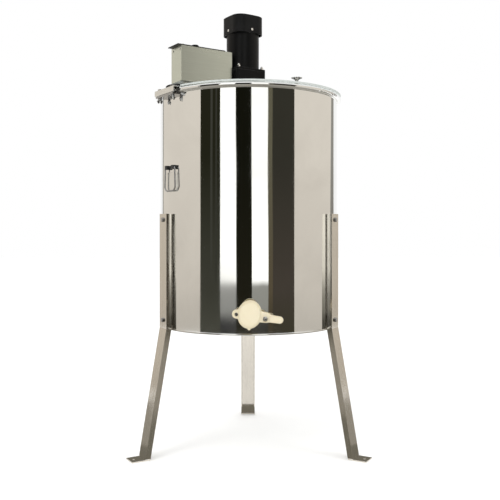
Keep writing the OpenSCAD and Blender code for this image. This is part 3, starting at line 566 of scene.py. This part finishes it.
def makeBail(name, look, turn, body, node):
    corners = [Vector(point) for point in look["half"]]
    corners += [Vector((-point[0], point[1])) for point in reversed(look["half"])]
    facing = Matrix.Rotation(math.radians(look["angle"] + turn), 4, "Z")
    curve = bpy.data.curves.new(name, "CURVE")
    curve.dimensions = "3D"
    curve.bevel_depth = look["radius"] * mm
    curve.bevel_resolution = 4
    curve.use_fill_caps = True
    path = bentPath(corners, look["bend"], look["bendSteps"])
    spline = curve.splines.new("POLY")
    spline.points.add(len(path) - 1)
    for point, place in zip(spline.points, path):
        point.co = (*(facing @ (Vector((look["at"], place[0], look["height"] + place[1])) * mm)), 1)
    wire = linked(name + "Curve", curve)
    mesh = bpy.data.meshes.new_from_object(wire.evaluated_get(bpy.context.evaluated_depsgraph_get()))
    bpy.data.objects.remove(wire)
    mesh.name = name
    mesh.materials.clear()
    mesh.materials.append(finishes["darkSteel"])
    bail = linked(name, mesh)
    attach(bail, body)
    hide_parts(node)


makeBail("bailWireLeft", bailWire, 0, "handle_left", "handle_bail_left")
makeBail("bailWireRight", bailWire, 180, "handle_right", "handle_bail_right")
print("bails ready")


# Things that repeat, grown from trees with named sizes

def newGrower(name, inputs):
    tree = bpy.data.node_groups.new(name, "GeometryNodeTree")
    for label, kind, value in inputs:
        tree.interface.new_socket(label, in_out="INPUT", socket_type=kind).default_value = value
    tree.interface.new_socket("Material", in_out="INPUT", socket_type="NodeSocketMaterial")
    tree.interface.new_socket("Geometry", in_out="OUTPUT", socket_type="NodeSocketGeometry")
    return tree, tree.nodes.new("NodeGroupInput"), tree.nodes.new("NodeGroupOutput")


def endGrower(tree, start, end, geometry):
    real = addNode(tree, "GeometryNodeRealizeInstances", {"Geometry": geometry})
    painted = addNode(tree, "GeometryNodeSetMaterial", {"Geometry": real.outputs[0]})
    tree.links.new(start.outputs["Material"], painted.inputs["Material"])
    tree.links.new(painted.outputs[0], end.inputs["Geometry"])


def grow(name, tree, finish, sizes):
    piece = linked(name, bpy.data.meshes.new(name + "Seed"))
    modifier = piece.modifiers.new("grower", "NODES")
    modifier.node_group = tree
    values = dict(sizes, Material=finishes[finish])
    for socket in tree.interface.items_tree:
        if socket.in_out == "INPUT" and socket.name in values:
            modifier[socket.identifier] = values[socket.name]
    mesh = bpy.data.meshes.new_from_object(piece.evaluated_get(bpy.context.evaluated_depsgraph_get()))
    piece.modifiers.clear()
    mesh.name = name
    piece.data = mesh
    if not mesh.materials:
        mesh.materials.append(finishes[finish])
    print(name, len(mesh.polygons), "faces")
    return piece


def vectorOf(tree, x=0.0, y=0.0, z=0.0):
    return addNode(tree, "ShaderNodeCombineXYZ", {"X": x, "Y": y, "Z": z}).outputs[0]


def makeScreenGrower():
    # welded wires upright and across, on four sides of the cage
    tree, start, end = newGrower("weldedScreens", [
        ("Distance", "NodeSocketFloat", 0.154),
        ("Half Width", "NodeSocketFloat", 0.15),
        ("Low", "NodeSocketFloat", 0.404),
        ("High", "NodeSocketFloat", 0.864),
        ("Wire", "NodeSocketFloat", 0.0008),
        ("Columns", "NodeSocketInt", 25),
        ("Rows", "NodeSocketInt", 37),
    ])
    size = start.outputs
    wire, low, high, half = size["Wire"], size["Low"], size["High"], size["Half Width"]
    middle = mathOf(tree, "MULTIPLY", mathOf(tree, "ADD", low, high), 0.5)
    height = mathOf(tree, "SUBTRACT", high, low)
    width = mathOf(tree, "MULTIPLY", half, 2.0)
    left = mathOf(tree, "MULTIPLY", half, -1.0)
    behind = mathOf(tree, "SUBTRACT", size["Distance"], wire)
    sunk = 0.7  # how far apart the two layers lie, as a share of the wire's radius
    ahead = mathOf(tree, "ADD", size["Distance"], mathOf(tree, "MULTIPLY", wire, sunk))
    upright = (size["Columns"], vectorOf(tree, behind, left, middle), vectorOf(tree, behind, half, middle))
    across = (size["Rows"], vectorOf(tree, ahead, 0.0, low), vectorOf(tree, ahead, 0.0, high))
    side = tree.nodes.new("GeometryNodeJoinGeometry")
    for (count, first, last), length, turn in ((upright, height, 0), (across, width, math.pi / 2)):
        ends = {"Count": count, "Start Location": first, "Offset": last}
        line = addNode(tree, "GeometryNodeMeshLine", ends, mode="END_POINTS").outputs[0]
        sizes = {"Vertices": 8, "Radius": wire, "Depth": length}
        rod = addNode(tree, "GeometryNodeMeshCylinder", sizes).outputs[0]
        placed = {"Points": line, "Instance": rod, "Rotation": (turn, 0, 0)}
        tree.links.new(addNode(tree, "GeometryNodeInstanceOnPoints", placed).outputs[0], side.inputs[0])
    corners = addNode(tree, "GeometryNodePoints", {"Count": 4}).outputs[0]
    quarter = mathOf(tree, "MULTIPLY", tree.nodes.new("GeometryNodeInputIndex").outputs[0], math.pi / 2)
    placed = {"Points": corners, "Instance": side.outputs[0], "Rotation": vectorOf(tree, 0.0, 0.0, quarter)}
    endGrower(tree, start, end, addNode(tree, "GeometryNodeInstanceOnPoints", placed).outputs[0])
    return tree


def makeRibGrower():
    # ribs round the side of a turned knob
    tree, start, end = newGrower("gripRibs", [
        ("Count", "NodeSocketInt", 24),
        ("Radius", "NodeSocketFloat", 0.0093),
        ("Rib", "NodeSocketFloat", 0.0005),
        ("Height", "NodeSocketFloat", 0.006),
        ("Centre", "NodeSocketVector", (0, 0, 0)),
    ])
    size = start.outputs
    circle = addNode(tree, "GeometryNodeMeshCircle", {"Vertices": size["Count"], "Radius": size["Radius"]})
    rod = {"Vertices": 10, "Radius": size["Rib"], "Depth": size["Height"]}
    rib = addNode(tree, "GeometryNodeMeshCylinder", rod)
    placed = {"Points": circle.outputs[0], "Instance": rib.outputs[0]}
    ring = addNode(tree, "GeometryNodeInstanceOnPoints", placed)
    moved = addNode(tree, "GeometryNodeTransform", {"Geometry": ring.outputs[0], "Translation": size["Centre"]})
    endGrower(tree, start, end, moved.outputs[0])
    return tree


screenSizes = {"Distance": 0.154, "Half Width": 0.1495, "Low": 0.4045, "High": 0.8635, "Wire": 0.0008,
               "Columns": 25, "Rows": 37}
knobMiddle = (168, 0, 1056)
ribSizes = {"Count": 28, "Radius": 0.0094, "Rib": 0.00045, "Height": 0.0064,
            "Centre": tuple(overBeam(*knobMiddle))}

screens = grow("weldedScreens", makeScreenGrower(), "cageSteel", screenSizes)
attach(screens, "cage")
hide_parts("cage_screens")

knobRibs = grow("knobRibs", makeRibGrower(), "blackPlastic", ribSizes)
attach(knobRibs, "speed_knob")
print("grown pieces ready")


# Mains lead: out of the gland under the control box, round the beam's end, along its far
# edge to the spare coil behind the gearmotor, and on to the plug that lies beside it
mainsLead = {
    "diameter": 6,
    "length": 1.76,
    "exit": (190, 10, 951.5),
    "bendDrop": 0.02,  # fall in millimetres for each degree of the bend
    "start": [(190, 10, 951.5), (196, 10, 951.5), (203, 10, 951.5)],
    "bendCentre": (210, -17.8),
    "bendRadius": 27.8,
    "run": [
        (196, -45.6, 946.6), (180, -45.6, 945.2), (162, -45.6, 944.1), (144, -45.6, 943.4),
        (126, -45.8, 943), (108, -46.6, 942.1), (90, -47.8, 941.6), (66, -48.7, 941.6),
        (36, -48.9, 941.6), (6, -48.9, 941.6), (-24, -48.5, 941.6), (-50, -46.2, 941.6),
        (-76, -42, 941.6), (-100, -37.6, 941.6),
    ],
    "coilCentre": (-122, 0),
    "rings": (36, 30),
    "coilBase": 941.6,
    "turns": 6,
    "pointsPerTurn": 16,
    "stepsOverAt": 0.75,
    "tail": [
        (-134, -30, 953.8), (-146, -28.5, 953.6), (-158, -25.5, 952.8), (-170, -21.5, 951.6),
        (-182, -17.5, 950.6), (-192, -15.2, 950.2), (-200, -14.4, 950.2),
    ],
}


def coilTurns(lead):
    # each layer is two turns side by side, and the cord steps over in the last quarter of a turn
    outer, inner = lead["rings"]
    radii = [outer, inner, inner, outer, outer, inner, inner]
    layers = [0, 0, 1, 1, 2, 2, 2]
    steps = lead["pointsPerTurn"]
    points = []
    for turn in range(lead["turns"]):
        for step in range(steps):
            part = step / steps
            ease = max(0, (part - lead["stepsOverAt"]) / (1 - lead["stepsOverAt"]))
            ease = ease * ease * (3 - 2 * ease)
            radius = radii[turn] + (radii[turn + 1] - radii[turn]) * ease
            layer = layers[turn] + (layers[turn + 1] - layers[turn]) * ease
            angle = math.radians(-90) - math.tau * part
            points.append((
                lead["coilCentre"][0] + radius * math.cos(angle),
                lead["coilCentre"][1] + radius * math.sin(angle),
                lead["coilBase"] + lead["diameter"] * layer,
            ))
    points.append((lead["coilCentre"][0], -inner, lead["coilBase"] + 2 * lead["diameter"]))
    return points


def leadRoute(lead):
    bend = []
    for angle in range(90, -91, -15):
        turn = math.radians(angle)
        bend.append((
            lead["bendCentre"][0] + lead["bendRadius"] * math.cos(turn),
            lead["bendCentre"][1] + lead["bendRadius"] * math.sin(turn),
            lead["exit"][2] - (90 - angle) * lead["bendDrop"],
        ))
    return lead["start"] + bend + lead["run"] + coilTurns(lead) + lead["tail"]


def makeLead(lead):
    curve = bpy.data.curves.new("mainsLead", "CURVE")
    curve.dimensions = "3D"
    curve.resolution_u = 4
    curve.bevel_depth = lead["diameter"] / 2 * mm
    curve.bevel_resolution = 3
    curve.use_fill_caps = True
    spline = curve.splines.new("BEZIER")
    route = leadRoute(lead)
    spline.bezier_points.add(len(route) - 1)
    for point, place in zip(spline.bezier_points, route):
        point.co = overBeam(*place)
        point.handle_left_type = point.handle_right_type = "AUTO"
    cord = linked("mainsLead", curve)
    curve.materials.append(finishes["cordSheath"])
    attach(cord, "stand")
    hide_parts("power_cord", "cord_coil")
    print("lead", round(spline.calc_length(), 4), "m")


makeLead(mainsLead)


# Pale floor, and tall boards that stand round the drum and show only in polished metal
studio = {"floorSize": 30, "floorTint": (0.96, 0.96, 0.95), "floorGlow": 0.14, "floorRoughness": 0.9,
          "boardRadius": 2.6, "boardFoot": 0.002, "boardTop": 2.6, "boardStep": 3,
          "stripRadius": 2.58, "stripFoot": 0.3, "ringHeight": 0.004}
warm, dark, pale, black = (0.76, 0.705, 0.625), (0.018, 0.018, 0.01), (1.3, 1.3, 1.25), (0.007, 0.007, 0.004)
warmFoot = ((0.56, 0.52, 0.46), (0.66, 0.61, 0.54), warm)
quick, slow = (0.08, 0.13, 0.277, 0.31), (0.03, 0.25, 0.3, 1.0)  # heights between which the tints change
boards = [  # from and to, in degrees round the drum from the gate, tints from the foot upwards, heights
    ("boardEdge", -143, -138, ((0.3, 0.28, 0.25), (0.34, 0.33, 0.3), (0.38, 0.37, 0.34)), slow),
    ("boardWarmLeft", -138, -60.5, warmFoot, slow),
    ("boardDarkLeft", -60.5, -34.5, ((0.07, 0.07, 0.055), (0.05, 0.05, 0.038), dark), slow),
    ("boardWhiteLeft", -34.5, -15.5, ((0.04, 0.04, 0.04), (0.33, 0.33, 0.31), pale), quick),
    ("boardBlack", -15.5, 3, ((0.02, 0.018, 0.01), (0.014, 0.013, 0.008), black), slow),
    ("boardWhiteRight", 3, 22.5, ((0.04, 0.04, 0.035), (0.31, 0.31, 0.28), pale), quick),
    ("boardOlive", 22.5, 28, ((0.06, 0.05, 0.03), (0.1, 0.08, 0.05), (0.13, 0.12, 0.08)), slow),
    ("boardDarkRight", 28, 56, ((0.05, 0.045, 0.03), (0.06, 0.05, 0.04), (0.036, 0.034, 0.026)), slow),
    ("boardWarmRight", 56, 127, warmFoot, slow),
    ("boardGrey", 127, 136, ((0.18, 0.16, 0.14), (0.2, 0.18, 0.16), (0.3, 0.29, 0.26)), slow),
]
# Flat rings on the floor, darker than it and shown only in polished metal, as painted shade on the floor round the
# drum: distances from the axis, angles and tint
rings = [
    ("ringNear", 0.262, 0.45, 0, 360, (0.2, 0.19, 0.16)),
    ("ringFloor", 0.45, 2.1, 0, 360, (0.36, 0.34, 0.3)),
    ("ringFloorFar", 2.1, 2.58, -60, 56, (0.04, 0.036, 0.025)),
]
# Narrow strips that stand before the dark board on the left
strips = [
    ("stripInner", -47, -44.2, (0.05, 0.05, 0.04)),
    ("stripOuter", -40.5, -38.5, (0.04, 0.04, 0.032)),
]


def glowing(name, tints, heights):
    # a surface that gives off light of its own, its tint changing with height
    material, tree, shader = startMaterial(name)
    height = addNode(tree, "ShaderNodeSeparateXYZ", {0: objectPlace(tree)}).outputs["Z"]
    foot, middle, top = [opaque(tint) for tint in tints]
    lower = colourMix(tree, spread(tree, height, *heights[:2]), foot, middle)
    feed(tree, shader, {
        "Base Color": (0, 0, 0, 1),
        "Specular IOR Level": 0,
        "Emission Strength": 1,
        "Emission Color": colourMix(tree, spread(tree, height, *heights[2:]), lower, top),
    })
    return material


def onlyReflected(board):
    board.visible_camera = False
    board.visible_diffuse = False
    board.visible_shadow = False
    board.visible_transmission = False
    board.visible_volume_scatter = False


def standBand(name, start, end, edges, tints, heights=slow):
    # a band round the drum between two edges, each a distance from the axis and a height
    steps = max(2, int((end - start) / studio["boardStep"]))
    points = []
    for step in range(steps + 1):
        turn = math.radians(start + (end - start) * step / steps)
        points += [(distance * math.sin(turn), -distance * math.cos(turn), height) for distance, height in edges]
    faces = [(2 * i, 2 * i + 2, 2 * i + 3, 2 * i + 1) for i in range(steps)]
    mesh = bpy.data.meshes.new(name)
    mesh.from_pydata(points, [], faces)
    mesh.materials.append(glowing(name, tints, heights))
    onlyReflected(linked(name, mesh))


def makeFloor():
    half = studio["floorSize"] / 2
    mesh = bpy.data.meshes.new("studioFloor")
    mesh.from_pydata([(-half, -half, 0), (half, -half, 0), (half, half, 0), (-half, half, 0)], [], [(0, 1, 2, 3)])
    material, tree, shader = startMaterial("floorPaper")
    feed(tree, shader, {
        "Base Color": opaque(studio["floorTint"]),
        "Roughness": studio["floorRoughness"],
        "Emission Color": (1, 1, 1, 1),
        "Emission Strength": studio["floorGlow"],
    })
    mesh.materials.append(material)
    linked("studioFloor", mesh)


def makeBoards():
    away, near, top = studio["boardRadius"], studio["stripRadius"], studio["boardTop"]
    for name, start, end, tints, heights in boards:
        standBand(name, start, end, ((away, studio["boardFoot"]), (away, top)), tints, heights)
    for name, start, end, tint in strips:
        standBand(name, start, end, ((near, studio["stripFoot"]), (near, top)), (tint,) * 3)
    # the rings are painted shade on the floor round the drum, seen only in polished metal
    for name, inner, outer, start, end, tint in rings:
        edges = ((inner, studio["ringHeight"]), (outer, studio["ringHeight"]))
        standBand(name, start, end, edges, (tint,) * 3)


softboxes = {
    "keySoftbox": {"place": (-2.2, -2.6, 3.2), "aim": (0, 0, 0.7), "size": 1.8, "power": 45},
    "fillSoftbox": {"place": (2.6, -1.6, 2.2), "aim": (0, 0, 0.6), "size": 1.6, "power": 18},
}


def makeLights():
    world = bpy.data.worlds.new("paleRoom")
    scene.world = world
    world.use_nodes = True
    feed(world.node_tree, world.node_tree.nodes["Background"], {"Color": (1, 1, 1, 1), "Strength": 1.0})
    for name, box in softboxes.items():
        data = bpy.data.lights.new(name, "AREA")
        data.shape = "DISK"
        data.size = box["size"]
        data.energy = box["power"]
        lamp = linked(name, data)
        lamp.location = box["place"]
        lamp.rotation_euler = (Vector(box["aim"]) - Vector(box["place"])).to_track_quat("-Z", "Y").to_euler()
        lamp.visible_glossy = False
    scene.view_settings.view_transform = "Standard"


makeFloor()
makeBoards()
makeLights()
print("studio ready")
